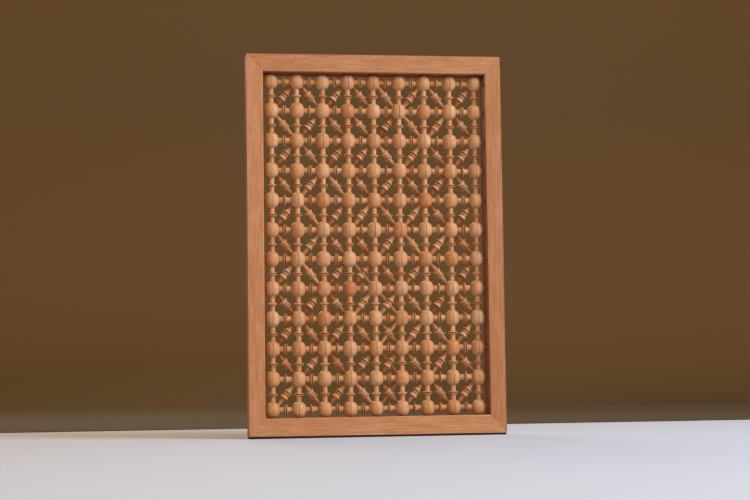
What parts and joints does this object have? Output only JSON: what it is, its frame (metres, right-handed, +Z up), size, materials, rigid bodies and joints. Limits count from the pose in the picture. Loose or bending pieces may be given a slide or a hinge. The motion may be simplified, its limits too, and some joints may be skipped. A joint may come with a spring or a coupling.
{
  "type": "spindle wall panel",
  "caption": "Rectangular wooden frame holding an open lattice of turned barrel-shaped beads joined upright, across and diagonally by short turned sticks; made to hang on a wall.",
  "frame": {"origin": "middle of the back face of the top rail, where the panel is fixed to a wall", "axes": "+X to the right seen from the front, -Y out of the front face, +Z up along the panel"},
  "size_m": [0.4, 0.037, 0.59],
  "materials": {
    "frame_wood": "planed straight-grained reddish softwood with a matt oil finish",
    "turned_wood": "lathe-turned wood, sanded and oiled, each piece of its own tone from pale tan to orange brown"
  },
  "bodies": {
    "root": {"top_rail": "frame_wood", "bottom_rail": "frame_wood", "left_stile": "frame_wood", "right_stile": "frame_wood", "bead_column_1": "turned_wood", "bead_column_2": "turned_wood", "bead_column_3": "turned_wood", "bead_column_4": "turned_wood", "bead_column_5": "turned_wood", "bead_column_6": "turned_wood", "bead_column_7": "turned_wood", "bead_column_8": "turned_wood", "bead_column_9": "turned_wood"}
  },
  "joints": []
}
